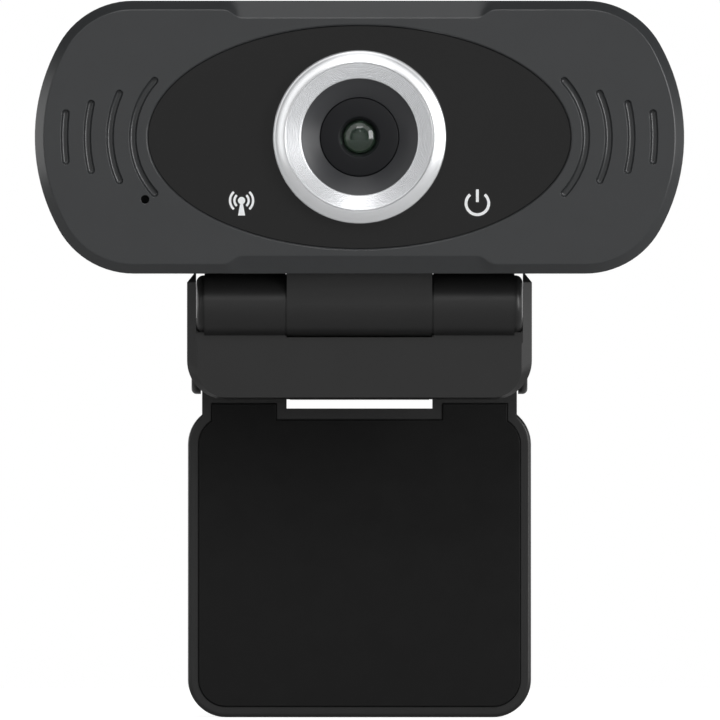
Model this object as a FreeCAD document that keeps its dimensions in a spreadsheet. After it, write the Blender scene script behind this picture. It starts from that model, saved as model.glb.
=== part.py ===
"""Webcam on a folding monitor clip, as a parametric assembly of separate pieces.

Millimetres. X points right, Y points back, away from the person in front of the camera, and Z points up.
The origin is the middle of the face that rests on top of a monitor.
"""
import FreeCAD, Part
import math
import os
import re
from types import SimpleNamespace

import Sketcher

Vector = FreeCAD.Vector
ACROSS = Vector(1, 0, 0)
BACK = Vector(0, 1, 0)
UP = Vector(0, 0, 1)
SIDES = (-1, 1)

# Driving dimensions: each is one aliased cell of the sheet.
SIZES = {
    # head: outline seen from the front
    "head_width": 100, "head_height": 42, "corner_radius": 13.05, "side_radius": 29.3, "head_depth": 21,
    "front_shell_depth": 9, "rear_rounding": 5.5, "bevel_width": 1.4, "bevel_depth": 1.6,
    "face_edge": 0.25, "brow_half": 17.8, "brow_run": 3.4, "brow_drop": 1.3, "shell_wall": 1.8,
    "face_wall": 2.8, "merge": 0.5,
    # oval panel and its icons
    "panel_half_width": 32.5, "panel_half_height": 17.1, "panel_thickness": 1.2, "panel_recess": 0.4,
    "panel_gap": 0.1, "rim_chamfer": 0.22, "icon_across": 18.15, "icon_drop": 10.0,
    "power_stroke": 0.44, "power_drop": 0.2, "power_radius": 1.75, "power_gap": 80,
    "power_bar_low": 0.2, "power_bar_high": 2.15, "signal_rise": 0.22, "signal_stroke": 0.36,
    "signal_inner": 1.1, "signal_outer": 1.78, "signal_sweep": 96, "signal_dot": 0.56, "mast_neck": 0.2,
    "mast_foot": 0.55, "mast_top": 0.4, "mast_bottom": 2.3,
    # side grooves: middle of the outermost one, step inwards, width, then radius and half height of each
    "groove_outermost": 45.4, "groove_pitch": 3.5, "groove_width": 1.16, "groove_a_radius": 32,
    "groove_a_half": 3.67, "groove_b_radius": 22.5, "groove_b_half": 5.12, "groove_c_radius": 16.4,
    "groove_c_half": 6.7, "groove_d_radius": 12.85, "groove_d_half": 8.67,
    # microphone
    "mic_across": 33, "mic_drop": 9.6, "mic_hole": 0.65, "mic_radius": 2, "mic_height": 2.2,
    "boot_radius": 3.2, "boot_height": 3.4, "collar_wall": 1, "collar_height": 2,
    # lens ring, hood, barrel and glass
    "ring_radius": 13.35, "ring_crest": 2.3, "ring_lip": 1.5, "ring_slope_start": 11.4, "ring_mouth": 9,
    "ring_edge_depth": 0.25, "ring_edge_width": 0.43, "ring_land": 0.9, "ring_step": 0.2,
    "ring_turn_in": 0.4, "hood_radius": 10.15, "hood_flange": 11.6, "hood_rear": 4,
    "barrel_radius": 6.1, "barrel_front": 0.8, "barrel_length": 11.2, "barrel_mouth": 2.7,
    "mouth_lip": 0.9, "glass_radius": 3.5, "front_glass": 1.8, "middle_glass": 1.6, "rear_glass": 1.8,
    "spacer": 1.4, "stop_thickness": 0.3, "stop_share": 0.33, "retainer_length": 1.2, "fit_gap": 0.05,
    "front_bulge": 0.85, "inner_bulge": 0.25, "rear_bulge": 0.2, "clear_step": 0.1,
    # circuit board and what stands on it
    "board_half_width": 22, "board_half_height": 13, "board_thickness": 1, "board_front": 15,
    "holder_half": 9, "holder_radius": 8, "holder_front": 6, "sensor_half": 4, "sensor_thickness": 1.4,
    "filter_thickness": 0.4, "chip_half": 4.5, "chip_thickness": 1, "led_height": 0.8,
    "connector_half": 4.5, "connector_depth": 2, "connector_height": 4, "guide_radius": 2.1,
    "board_screw_inset": 4, "low_screw_across": 12.1, "holder_screw_inset": 1.8, "ledge_thickness": 0.6,
    "window_inset": 0.5, "sensor_room": 1, "filter_overlap": 0.2, "capacitor_length": 1.6,
    "capacitor_width": 0.8, "led_half_length": 0.8, "led_half_height": 0.5, "crystal_low": 1.5,
    "crystal_high": 3.5, "memory_low": 1, "memory_high": 5,
    # cable gland
    "gland_radius": 3.6, "gland_neck": 2.8, "gland_bore": 1.9, "gland_proud": 1.4, "gland_drop": 10.5,
    "gland_edge": 0.5, "gland_flange": 1,
    # screws
    "shell_screw": 1.1, "shell_screw_head": 2.2, "shell_screw_across": 26, "shell_screw_rise": 7,
    "boss_radius": 3, "front_boss": 3.4, "post_radius": 2, "small_screw": 0.8, "small_screw_head": 1.4,
    "screw_head_height": 0.9, "thread_depth": 5, "boss_end": 5, "neck_bite": 2.4,
    "pocket_clearance": 0.2, "screw_sink": 0.3, "screw_clearance": 0.15, "screw_reach": 3,
    "neck_screw_shift": 0.2, "pin_clearance": 0.3,
    # tilt hinge
    "tilt_back": 12.6, "tilt_height": 6.2, "tilt_radius": 5, "hinge_bite": 0.2, "swing_room": 0.3,
    "face_overhang": 11, "neck_half": 11.2, "washer_thickness": 0.2, "washer_slack": 0.05,
    "barrel_end": 23.9, "cap_length": 1.25, "cap_inset": 0.45, "cap_edge": 0.15, "tilt_pin": 1.5,
    "bush_radius": 2.4, "bush_length": 3, "running_gap": 0.05, "tilt_washer": 4.75,
    # bracket
    "bracket_width": 53.2, "plate_top": 3, "plate_front": 11, "rest_half": 9.4, "pad_thickness": 0.8,
    "pad_proud": 0.3, "lip_thickness": 3.2, "lip_bottom": 8.4, "lip_corner": 6, "lip_band": 1.6,
    "lip_band_depth": 1.3, "lip_bottom_band": 0.3, "lip_top": 1.2, "cheek_top": 11.2,
    "cheek_chamfer": 1.25, "cheek_slope": 1.55, "cheek_back": 4.9, "cheek_inner": 25.2, "pad_half": 22,
    "lip_pad_top": 1, "lip_pad_bottom": 7, "pad_corner": 2, "plate_rear": 12.2,
    # fold hinge
    "fold_back": 15, "fold_drop": 3.1, "ear_radius": 4.5, "ear_inner": 24.6, "ear_outer": 26.05,
    "ear_rounding": 0.8, "fold_washer": 3.6, "knuckle_radius": 5.4, "knuckle_half": 10.8,
    "leg_knuckle_radius": 3.9, "fold_pin": 1.2, "hinge_gap": 0.35,
    # leg
    "leg_width": 53.2, "leg_bottom": 57.7, "leg_corner": 5.9, "leg_thickness": 6.4,
    "leg_neck_half": 24.4, "shoulder_side": 15.4, "shoulder_radius": 6, "slot_half": 11.3,
    "slot_bottom": 9.84, "leg_cover": 1.3, "leg_front_wall": 1, "leg_pad_thickness": 1.6,
    "leg_pad_proud": 0.3, "pad_gap": 0.15, "cover_border": 1.2, "cover_top": 13, "cavity_border": 2.8,
    "leg_border": 1.7, "pad_ear_inner": 12.9, "pad_ear_outer": 22.9, "pad_ear_top": 9.1,
    "crossbar": 1.76, "boss_wall": 1.4, "cover_seat": 0.5, "boss_merge": 0.2, "insert_radius": 3.175,
    "insert_wall": 1.5, "insert_length": 4.1, "insert_drop": 28, "leg_screw_across": 19,
    "leg_screw_high": 18, "leg_screw_low": 50, "leg_edge": 0.6,
}

# Places that follow from the driving dimensions.
PLACES = {
    "head_bottom": "tilt_height + tilt_radius - hinge_bite",
    "head_middle": "head_bottom + head_height / 2",
    "head_front": "0 - tilt_back - face_overhang",
    "panel_back": "panel_recess + panel_thickness",
    "barrel_rear": "barrel_front + barrel_length",
    "board_rear": "board_front + board_thickness",
    "rear_wall": "head_depth - shell_wall",
    "neck_depth": "0 - tilt_back - head_front",
    "lip_front": "plate_front + lip_thickness",
    "fold_height": "0 - fold_drop",
    "leg_front": "fold_back - leg_thickness / 2",
    "leg_rear": "fold_back + leg_thickness / 2",
    "leg_half": "leg_width / 2",
    "bracket_half": "bracket_width / 2",
    "bearing_start": "neck_half + washer_slack + washer_thickness",
    "glass_a": "barrel_front + mouth_lip",
    "glass_b": "glass_a + front_glass",
    "glass_c": "glass_b + spacer",
    "glass_d": "glass_c + stop_thickness",
    "glass_e": "glass_d + middle_glass",
    "glass_f": "glass_e + spacer",
    "glass_g": "glass_f + rear_glass",
    "glass_h": "glass_g + retainer_length",
    "holder_ledge": "barrel_rear + pocket_clearance",
    "filter_front": "holder_ledge + ledge_thickness",
    "tilt_place": "0 - tilt_back",
    "leg_floor": "leg_front + leg_pad_thickness - leg_pad_proud",
    "cavity_front": "leg_floor + leg_front_wall",
    "cover_front": "leg_rear - leg_cover",
}

doc = FreeCAD.newDocument("Webcam")
sheet = doc.addObject("Spreadsheet::Sheet", "Sizes")
layout = doc.addObject("App::FeaturePython", "Layout")
nodes = []


# ---------------------------------------------------------------- sizes
def named(text):
    """An expression with every size written with its owner's name."""
    def full(match):
        word = match.group(0)
        if word in SIZES:
            return "Sizes." + word
        if word in PLACES:
            return "Layout." + word
        return word
    return re.sub(r"[a-z][a-z_]*", full, text)


def bind(thing, path, text):
    """Tie one property of an object to the sheet."""
    thing.setExpression(path, named(text))


def fill_sheet():
    for row, (name, value) in enumerate(SIZES.items(), start=1):
        sheet.set(f"A{row}", name)
        sheet.set(f"B{row}", str(value))
        sheet.setAlias(f"B{row}", name)
    layout.addProperty("App::PropertyFloat", "reading")
    for name, text in PLACES.items():
        layout.addProperty("App::PropertyFloat", name)
    doc.recompute()
    for name, text in PLACES.items():
        bind(layout, name, text)
        doc.recompute()


def read_sizes():
    """Every size and place as plain numbers, for the shapes that Part's own functions make."""
    values = {name: float(getattr(sheet, name)) for name in SIZES}
    values.update({name: float(getattr(layout, name)) for name in PLACES})
    return SimpleNamespace(**values)


def number(text):
    """The present value of an expression over the sizes."""
    bind(layout, "reading", text)
    layout.recompute()
    return float(layout.reading)


fill_sheet()
size = read_sizes()


# ---------------------------------------------------------------- making objects
def keep(thing, label):
    """Give a finished sub-part its own name and list it for writing."""
    thing.Label = label
    nodes.append(thing)
    return thing


def place(thing, x="0", y="0", z="0"):
    bind(thing, "Placement.Base.x", x)
    bind(thing, "Placement.Base.y", y)
    bind(thing, "Placement.Base.z", z)
    return thing


def in_head(thing):
    """Put a piece whose origin is on the lens axis, level with the face, into the head."""
    return place(thing, "0", "head_front", "head_middle")


def box(name, low, high):
    """A block between two corners, each coordinate an expression."""
    block = doc.addObject("Part::Box", name)
    for side, start, end in zip(("Length", "Width", "Height"), low, high):
        bind(block, side, f"({end}) - ({start})")
    return place(block, *low)


def rod(name, radius, length, start, turn):
    """A cylinder from a start point, along the axis that the turn gives."""
    shaft = doc.addObject("Part::Cylinder", name)
    bind(shaft, "Radius", radius)
    bind(shaft, "Height", length)
    shaft.Placement = FreeCAD.Placement(Vector(), turn)
    return place(shaft, *start)


ALONG_X = FreeCAD.Rotation(BACK, 90)
ALONG_Y = FreeCAD.Rotation(ACROSS, -90)
ALONG_Z = FreeCAD.Rotation()


def joined(name, pieces):
    union = doc.addObject("Part::MultiFuse", name)
    union.Shapes = pieces
    return union


def cut(name, base, tools):
    difference = doc.addObject("Part::Cut", name)
    difference.Base = base
    difference.Tool = tools[0] if len(tools) == 1 else joined(name + "_tools", tools)
    return difference


def origin_plane(body, role):
    return next(plane for plane in body.Origin.OriginFeatures if plane.Role == role)


def polygon(body, name, role, corners):
    """A closed sketch on one of the body's own planes, its corners held by two dimensions each."""
    sketch = body.newObject("Sketcher::SketchObject", name)
    sketch.AttachmentSupport = [(origin_plane(body, role), "")]
    sketch.MapMode = "FlatFace"
    points = [Vector(number(x), number(y), 0) for x, y in corners]
    for here, there in zip(points, points[1:] + points[:1]):
        sketch.addGeometry(Part.LineSegment(here, there), False)
    count = len(points)
    for index in range(count):
        sketch.addConstraint(Sketcher.Constraint("Coincident", index, 2, (index + 1) % count, 1))
    for index, (x, y) in enumerate(corners):
        for kind, text, start in (("DistanceX", x, points[index].x), ("DistanceY", y, points[index].y)):
            held = sketch.addConstraint(Sketcher.Constraint(kind, -1, 1, index, 1, start))
            sketch.setExpression(f"Constraints[{held}]", named(text))
    return sketch


def turned(name, role, corners):
    """A body of revolution about its sketch's level axis; corners are (along, radius)."""
    body = doc.addObject("PartDesign::Body", name)
    sketch = polygon(body, name + "_profile", role, corners)
    spin = body.newObject("PartDesign::Revolution", name + "_turn")
    spin.Profile = sketch
    spin.ReferenceAxis = (sketch, ["H_Axis"])
    spin.Angle = 360
    body.Tip = spin
    return body


def lens_turned(name, corners):
    """A piece turned about the lens axis, in its place in the head."""
    return keep(in_head(turned(name, "YZ_Plane", corners)), name)


def round_edges(body, name, radius, wanted):
    """Round the edges of the body's last feature that pass a test of their middle point and direction."""
    doc.recompute()
    base = body.Tip
    chosen = [f"Edge{i}" for i, edge in enumerate(base.Shape.Edges, start=1) if wanted(edge)]
    fillet = body.newObject("PartDesign::Fillet", name)
    fillet.Base = (base, chosen)
    bind(fillet, "Radius", radius)
    body.Tip = fillet
    return body


def shaped(name, shape):
    """A sub-part whose shape Part's own functions make, in the model's frame."""
    feature = doc.addObject("Part::Feature", name)
    feature.Shape = shape
    return keep(feature, name)


def shaped_in_head(name, shape):
    """The same, for a shape made about the lens axis and level with the face."""
    feature = shaped(name, shape)
    feature.Placement = FreeCAD.Placement(Vector(0, size.head_front, size.head_middle), FreeCAD.Rotation())
    return feature


def disc(radius, start, end, x=0.0, z=0.0):
    """A plain cylinder along Y between two depths."""
    return Part.makeCylinder(radius, end - start, Vector(x, start, z), BACK)


def block(low, high):
    return Part.makeBox(high[0] - low[0], high[1] - low[1], high[2] - low[2], Vector(*low))


def middle(edge):
    return edge.valueAt((edge.FirstParameter + edge.LastParameter) / 2)


# ---------------------------------------------------------------- outlines
def both_sides(shape):
    return [shape, shape.mirror(Vector(), ACROSS)]


def softened(shape, radius, wanted):
    return shape.makeFillet(radius, [edge for edge in shape.Edges if wanted(edge)])


def line(start, end):
    return Part.LineSegment(Vector(*start), Vector(*end)).toShape()


def arc(start, through, end):
    return Part.Arc(Vector(*start), Vector(*through), Vector(*end)).toShape()


def ease(start, end):
    """An S-shaped edge that leaves and arrives level."""
    half = (start[0] + end[0]) / 2
    curve = Part.BezierCurve()
    curve.setPoles([Vector(*start), Vector(half, start[1], start[2]), Vector(half, end[1], end[2]),
                    Vector(*end)])
    return curve.toShape()


def head_outline(inset, depth, drop=0.0):
    """The head's outline at one depth, inset all round, with its brow and chin dropped inwards by a step."""
    half_height = size.head_height / 2
    side_centre = size.head_width / 2 - size.side_radius
    corner_z = half_height - size.corner_radius
    reach = size.side_radius - size.corner_radius
    corner_x = side_centre + math.sqrt(reach ** 2 - corner_z ** 2)
    top = half_height - inset
    turn = math.atan2(corner_z, corner_x - side_centre)
    corner = size.corner_radius - inset
    side = size.side_radius - inset
    lean = (turn + math.pi / 2) / 2

    def at(x, z):
        return (x, depth, z)

    brow = size.brow_half
    shoulder = size.brow_half + size.brow_run
    edges = []
    for up in (1, -1):
        level = up * top
        dropped = up * (top - drop)
        right_corner = [at(corner_x, level),
                        at(corner_x + corner * math.cos(lean), up * (corner_z + corner * math.sin(lean))),
                        at(side_centre + side * math.cos(turn), up * side * math.sin(turn))]
        left_corner = [at(-x, z) for x, y, z in right_corner]
        edges += [
            arc(*left_corner),
            line(at(-corner_x, level), at(-shoulder, level)),
            ease(at(-shoulder, level), at(-brow, dropped)),
            line(at(-brow, dropped), at(brow, dropped)),
            ease(at(brow, dropped), at(shoulder, level)),
            line(at(shoulder, level), at(corner_x, level)),
            arc(*right_corner),
        ]
    for across in SIDES:
        tip = at(across * (side_centre + side), 0)
        above = at(across * (side_centre + side * math.cos(turn)), side * math.sin(turn))
        below = (above[0], depth, -above[2])
        edges.append(arc(above, tip, below))
    return edges


def face_of(edges):
    return Part.Face(Part.Wire(Part.__sortEdges__(edges)))


def ruled_solid(first, second):
    """The solid between two flat outlines that have the same edges in the same order."""
    faces = [Part.makeRuledSurface(a, b) for a, b in zip(first, second)]
    shell = Part.Shell(faces + [face_of(first), face_of(second)])
    shell.sewShape()
    solid = Part.Solid(shell)
    if solid.Volume < 0:
        solid.reverse()
    return solid


def head_prism(inset, start, end):
    return face_of(head_outline(inset, start)).extrude(Vector(0, end - start, 0)).removeSplitter()


def rounded_behind(solid, depth, radius):
    """Round the outline edge that lies in the plane at one depth."""
    rear = [edge for edge in solid.Edges if abs(edge.BoundBox.YMin - depth) < 1e-4
            and abs(edge.BoundBox.YMax - depth) < 1e-4]
    return solid.makeFillet(radius, rear)


def oval(depth, thickness, growth=0.0):
    """A plate with the panel's oval outline."""
    ellipse = Part.Ellipse(Vector(0, 0, 0), size.panel_half_width + growth, size.panel_half_height + growth)
    plate = Part.Face(Part.Wire(ellipse.toShape())).extrude(Vector(0, 0, thickness))
    plate.Placement = FreeCAD.Placement(Vector(0, depth, 0), ALONG_Y)
    return plate


def screw_places():
    return [(across * size.shell_screw_across, up * size.shell_screw_rise)
            for across in SIDES for up in SIDES]


# ---------------------------------------------------------------- head shells
def groove(radius, half, reach):
    """One curved side groove: a round bar swept along an arc, with a ball at each end."""
    bar = size.groove_width / 2
    spread = math.asin(half / radius)
    centre = Vector(reach - radius, 0, 0)
    start = centre + Vector(radius * math.cos(spread), 0, -radius * math.sin(spread))
    end = Vector(start.x, 0, -start.z)
    along = Vector(math.sin(spread), 0, math.cos(spread))
    ring = Part.Face(Part.Wire(Part.Circle(start, along, bar).toShape()))
    swept = ring.revolve(centre, Vector(0, -1, 0), math.degrees(2 * spread))
    return swept.fuse([Part.makeSphere(bar, start), Part.makeSphere(bar, end)])


def side_grooves():
    """Four grooves on each side of the face, stepped inwards."""
    rows = [(size.groove_a_radius, size.groove_a_half), (size.groove_b_radius, size.groove_b_half),
            (size.groove_c_radius, size.groove_c_half), (size.groove_d_radius, size.groove_d_half)]
    cuts = []
    for index, (radius, half) in enumerate(rows):
        right = groove(radius, half, size.groove_outermost - index * size.groove_pitch)
        cuts += [right, right.mirror(Vector(), ACROSS)]
    return cuts


def hinge_hollows():
    """The hollows under the head that the hinge barrels and the bracket's cheeks turn in."""
    length = size.bracket_half + size.swing_room - size.neck_half
    start = Vector(size.neck_half, size.neck_depth, size.tilt_height - size.head_middle)
    hollow = Part.makeCylinder(size.tilt_radius + size.swing_room, length, start, ACROSS)
    return both_sides(hollow)


def front_shell():
    """The front half of the case: bevelled rim, oval recess, side grooves, bosses and holes."""
    face_outline = head_outline(size.bevel_width, 0, size.brow_drop)
    bevel = ruled_solid(face_outline, head_outline(0, size.bevel_depth))
    shell = bevel.fuse(head_prism(0, size.bevel_depth, size.front_shell_depth)).removeSplitter()
    hollow = head_prism(size.shell_wall, size.face_wall, size.front_shell_depth)
    shell = shell.cut(hollow)
    boss_end = size.boss_end
    bosses = [disc(size.front_boss, size.panel_back, boss_end, x, z) for x, z in screw_places()]
    bosses.append(disc(size.boot_radius + size.collar_wall, size.face_wall - size.merge,
                       size.face_wall + size.collar_height, -size.mic_across, -size.mic_drop))
    shell = shell.fuse(bosses)
    cuts = [oval(-1, size.panel_back + 1, size.panel_gap)]
    cuts.append(disc(size.hood_radius + size.fit_gap, -1, boss_end))
    for x, z in screw_places():
        cuts.append(disc(size.shell_screw_head + size.pocket_clearance, 0,
                         size.panel_back + size.screw_head_height + size.screw_sink, x, z))
        cuts.append(disc(size.shell_screw + size.screw_clearance, 0, boss_end, x, z))
    for across in SIDES:
        cuts.append(disc(size.guide_radius + size.fit_gap, 0, size.face_wall + 1,
                         across * size.icon_across, -size.icon_drop))
    cuts.append(disc(size.mic_hole, -1, size.face_wall + 1, -size.mic_across, -size.mic_drop))
    cuts.append(disc(size.boot_radius, size.face_wall, size.face_wall + size.boot_height,
                     -size.mic_across, -size.mic_drop))
    shell = shell.cut(cuts + side_grooves() + hinge_hollows())
    corners = [middle(edge) for edge in face_outline]
    shell = softened(shell, size.face_edge, lambda edge: edge.BoundBox.YMax < 1e-4
                     and min((middle(edge) - spot).Length for spot in corners) < 0.01)
    rim = [edge for edge in shell.Edges if edge.BoundBox.YMax < 1e-4
           and abs(edge.BoundBox.XMax - size.panel_half_width - size.panel_gap) < 0.01]
    return shaped_in_head("front_shell", shell.makeChamfer(size.rim_chamfer, rim))


def rear_shell():
    """The rear half of the case: rounded back, screw bosses, board posts and the cable hole."""
    shell = rounded_behind(head_prism(0, size.front_shell_depth, size.head_depth), size.head_depth,
                           size.rear_rounding)
    hollow = rounded_behind(head_prism(size.shell_wall, size.front_shell_depth, size.rear_wall),
                            size.rear_wall, size.rear_rounding - size.shell_wall)
    shell = shell.cut(hollow)
    boss_start = size.boss_end
    boss_root = size.rear_wall + size.merge
    bosses = [disc(size.boss_radius, boss_start, boss_root, x, z) for x, z in screw_places()]
    bosses += [disc(size.post_radius, size.board_rear, boss_root, x, z) for x, z in board_screw_places()]
    shell = shell.fuse(bosses)
    cuts = [disc(size.shell_screw, boss_start, boss_start + size.thread_depth, x, z)
            for x, z in screw_places()]
    cuts += [disc(size.small_screw, size.board_rear, size.rear_wall, x, z) for x, z in board_screw_places()]
    cuts.append(disc(size.gland_neck, size.rear_wall - 1, size.head_depth + 1, 0, -size.gland_drop))
    below = -size.head_height / 2 - size.merge
    for side in SIDES:
        start = Vector(side * neck_screw_across(), neck_screw_depth(), below)
        cuts.append(Part.makeCylinder(size.small_screw + size.screw_clearance, size.shell_wall + 1, start))
    return shaped_in_head("rear_shell", shell.cut(cuts + hinge_hollows()))


def board_screw_places():
    """Two screws near the board's upper corners and two between the light guides below."""
    across = size.board_half_width - size.board_screw_inset
    high = size.board_half_height - size.board_screw_inset
    low = size.board_half_height - size.board_screw_inset / 2
    return [(-across, high), (across, high), (-size.low_screw_across, -low), (size.low_screw_across, -low)]


def neck_screw_across():
    return size.neck_half / 2


def neck_screw_depth():
    """Depth behind the face of the screws that hold the neck to the rear shell."""
    return (size.front_shell_depth + size.neck_depth + size.tilt_radius) / 2 - size.neck_screw_shift


# ---------------------------------------------------------------- panel, icons and light guides
def band(radius, stroke, start, sweep, centre, depth, end):
    """Part of a flat ring, its angles in degrees seen from the front, counter-clockwise from the right."""
    x, z = centre
    outer = Part.makeCylinder(radius + stroke / 2, end - depth, Vector(), UP, sweep)
    inner = Part.makeCylinder(radius - stroke / 2, end - depth, Vector(), UP, sweep)
    piece = outer.cut(inner)
    piece.rotate(Vector(), UP, start)
    piece.rotate(Vector(), ACROSS, 90)
    piece.translate(Vector(x, end, z))
    return piece


def power_icon_shape():
    """A ring open at the top with a bar in the gap."""
    x, z = size.icon_across, -size.icon_drop - size.power_drop
    half = size.power_stroke / 2
    ring = band(size.power_radius, size.power_stroke, 90 + size.power_gap / 2, 360 - size.power_gap, (x, z),
                size.panel_recess, size.panel_back)
    bar = block((x - half, size.panel_recess, z + size.power_bar_low),
                (x + half, size.panel_back, z + size.power_bar_high))
    return Part.Compound([ring, bar])


def signal_icon_shape():
    """A mast with a ball on top and two waves on each side."""
    x, z = -size.icon_across, -size.icon_drop + size.signal_rise
    start, end = size.panel_recess, size.panel_back
    ball = disc(size.signal_dot, start, end, x, z)
    top, bottom = z - size.mast_top, z - size.mast_bottom
    outline = [(x - size.mast_neck, top), (x + size.mast_neck, top),
               (x + size.mast_foot, bottom), (x - size.mast_foot, bottom)]
    corners = [Vector(px, start, pz) for px, pz in outline + outline[:1]]
    mast = Part.Face(Part.makePolygon(corners)).extrude(Vector(0, end - start, 0))
    sweep = size.signal_sweep
    waves = [band(radius, size.signal_stroke, turn - sweep / 2, sweep, (x, z), start, end)
             for radius in (size.signal_inner, size.signal_outer) for turn in (0, 180)]
    return Part.Compound([ball.fuse(mast)] + waves)


def icons():
    shaped_in_head("power_icon", power_icon_shape())
    shaped_in_head("signal_icon", signal_icon_shape())


def front_panel():
    """The glossy oval panel, cut out for the lens ring and the two icons."""
    panel = oval(size.panel_recess, size.panel_thickness)
    ring_hole = disc(size.ring_radius, 0, size.panel_back + 1)
    shaped_in_head("front_panel", panel.cut([ring_hole, power_icon_shape(), signal_icon_shape()]))


def light_guides():
    """Two clear rods that carry the light of the status LEDs to the icons."""
    rods = [rod("guide", "guide_radius", "board_front - led_height - panel_back",
                (f"{side} * icon_across", "head_front + panel_back", "head_middle - icon_drop"), ALONG_Y)
            for side in SIDES]
    return group("light_guides", rods)


def group(label, pieces):
    """Identical pieces that share one node."""
    set_of = doc.addObject("Part::Compound", label)
    set_of.Links = pieces
    return keep(set_of, label)


# ---------------------------------------------------------------- lens
def lens_ring():
    lens_turned("lens_ring", [
        ("panel_back", "ring_radius"),
        ("0 - ring_lip", "ring_radius"),
        ("ring_edge_depth - ring_crest", "ring_radius - ring_edge_width"),
        ("0 - ring_crest", "ring_slope_start + ring_land"),
        ("ring_step - ring_crest", "ring_slope_start"),
        ("0 - ring_lip", "ring_mouth"),
        ("ring_turn_in - ring_lip", "ring_mouth"),
        ("ring_turn_in - ring_lip", "hood_radius"),
        ("panel_back", "hood_radius"),
    ])


def lens_hood():
    """The dark funnel between the ring and the lens, held by its flange behind the front wall."""
    lens_turned("lens_hood", [
        ("ring_turn_in - ring_lip", "ring_mouth"),
        ("ring_turn_in - ring_lip", "hood_radius"),
        ("face_wall", "hood_radius"),
        ("face_wall", "hood_flange"),
        ("hood_rear", "hood_flange"),
        ("hood_rear", "barrel_radius + running_gap"),
        ("barrel_front", "barrel_radius + running_gap"),
    ])


def lens_barrel():
    lens_turned("lens_barrel", [
        ("barrel_front", "barrel_mouth"),
        ("barrel_front", "barrel_radius"),
        ("barrel_rear", "barrel_radius"),
        ("barrel_rear", "glass_radius"),
        ("glass_a", "glass_radius"),
        ("glass_a", "barrel_mouth"),
    ])


def washer_in_barrel(name, start, end, bore):
    lens_turned(name, [(start, bore), (start, "glass_radius"), (end, "glass_radius"), (end, bore)])


def glass(name, start, thickness, front_bulge, rear_bulge):
    """A lens element: a flat-rimmed disc with a shallow dome on one or both faces."""
    clear = size.barrel_mouth - size.clear_step
    element = disc(size.glass_radius, start, start + thickness)
    for bulge, plane, outwards in ((front_bulge, start, -1), (rear_bulge, start + thickness, 1)):
        if bulge:
            curve = (clear ** 2 + bulge ** 2) / (2 * bulge)
            ball = Part.makeSphere(curve, Vector(0, plane + outwards * (bulge - curve), 0))
            ends = sorted((plane - outwards * thickness / 4, plane + outwards * 2 * bulge))
            element = element.fuse(ball.common(disc(clear, *ends)))
    shaped_in_head(name, element)


def lens_stack():
    """The elements inside the barrel, from the front glass to the threaded retainer."""
    glass("front_lens", size.glass_a, size.front_glass, size.front_bulge, 0)
    washer_in_barrel("front_spacer", "glass_b", "glass_c", "barrel_mouth - 2 * clear_step")
    washer_in_barrel("aperture_stop", "glass_c", "glass_d", "glass_radius * stop_share")
    glass("middle_lens", size.glass_d, size.middle_glass, 0, size.inner_bulge)
    washer_in_barrel("rear_spacer", "glass_e", "glass_f", "barrel_mouth")
    glass("rear_lens", size.glass_f, size.rear_glass, size.inner_bulge, size.rear_bulge)
    washer_in_barrel("lens_retainer", "glass_g", "glass_h", "barrel_mouth")


def lens_holder():
    """The threaded tube on a square foot that stands on the circuit board."""
    foot = block((-size.holder_half, size.holder_ledge, -size.holder_half),
                 (size.holder_half, size.board_front, size.holder_half))
    tube = disc(size.holder_radius, size.holder_front, size.holder_ledge + 1)
    window = size.sensor_half - size.window_inset
    room = size.sensor_half + size.sensor_room
    cuts = [disc(size.barrel_radius, size.holder_front, size.holder_ledge),
            block((-window, size.holder_ledge, -window), (window, size.filter_front, window)),
            block((-room, size.filter_front, -room), (room, size.board_front, room))]
    cuts += [disc(size.small_screw, size.filter_front, size.board_front, x, z)
             for x, z in holder_screw_places()]
    shaped_in_head("lens_holder", foot.fuse(tube).cut(cuts))


def holder_screw_places():
    corner = size.holder_half - size.holder_screw_inset
    return [(corner, -corner), (-corner, corner)]


# ---------------------------------------------------------------- circuit board
def head_block(name, x, depth, z):
    """A block in the head; each pair is its two ends, depth measured back from the face."""
    return box(name, (x[0], f"head_front + {depth[0]}", f"head_middle + {z[0]}"),
               (x[1], f"head_front + {depth[1]}", f"head_middle + {z[1]}"))


def through_board(name, places):
    """Clearance holes through the board."""
    return [rod(name, "small_screw", "board_thickness + 2",
                (f"{x}", "head_front + board_front - 1", f"head_middle + {z}"), ALONG_Y)
            for x, z in places]


def main_board():
    plate = head_block("board_plate", ("0 - board_half_width", "board_half_width"),
                       ("board_front", "board_rear"), ("(0 - board_half_height)", "board_half_height"))
    holes = through_board("board_hole", board_screw_places() + holder_screw_places())
    keep(cut("main_board", plate, holes), "main_board")


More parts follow.
